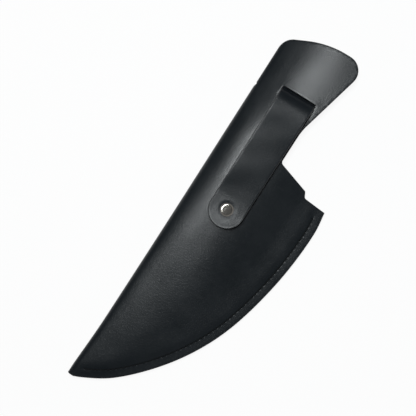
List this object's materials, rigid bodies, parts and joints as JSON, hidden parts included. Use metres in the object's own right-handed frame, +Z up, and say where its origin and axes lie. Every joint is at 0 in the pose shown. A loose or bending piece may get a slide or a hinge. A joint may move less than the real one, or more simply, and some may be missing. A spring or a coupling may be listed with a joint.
{
  "type": "belt sheath for a curved blade",
  "caption": "Folded leather sheath for a wide curved blade, with a sewn belly, a flared tongue and a belt strap that opens on a snap fastener.",
  "frame": {"origin": "on the ground under the middle of the sheath, which lies on its front panel with the belt side up", "axes": "+X from the tip to the end of the tongue, +Y towards the folded spine, +Z up from the ground"},
  "size_m": [0.2786, 0.0899, 0.0237],
  "materials": {
    "black_leather": "smooth, semi-matt, fine grain",
    "welt_leather": "matt cut edge",
    "nickel": "polished nickel plate",
    "black_thread": "matt waxed thread"
  },
  "bodies": {
    "root": {"sheath_body": "black_leather", "welt": "welt_leather", "strap_anchor": "black_leather", "snap_stud": "nickel", "snap_post": "nickel", "needle_thread": "black_thread", "bobbin_thread": "black_thread"},
    "strap": {"belt_strap": "black_leather", "snap_cap": "nickel", "snap_socket": "nickel"}
  },
  "joints": [
    {"name": "strap_open", "type": "hinge", "parent": "root", "child": "strap", "pos_m": [0.09565, 0.01325, 0.0146], "axis": [0, 1, 0], "range_deg": [0, 100]}
  ]
}
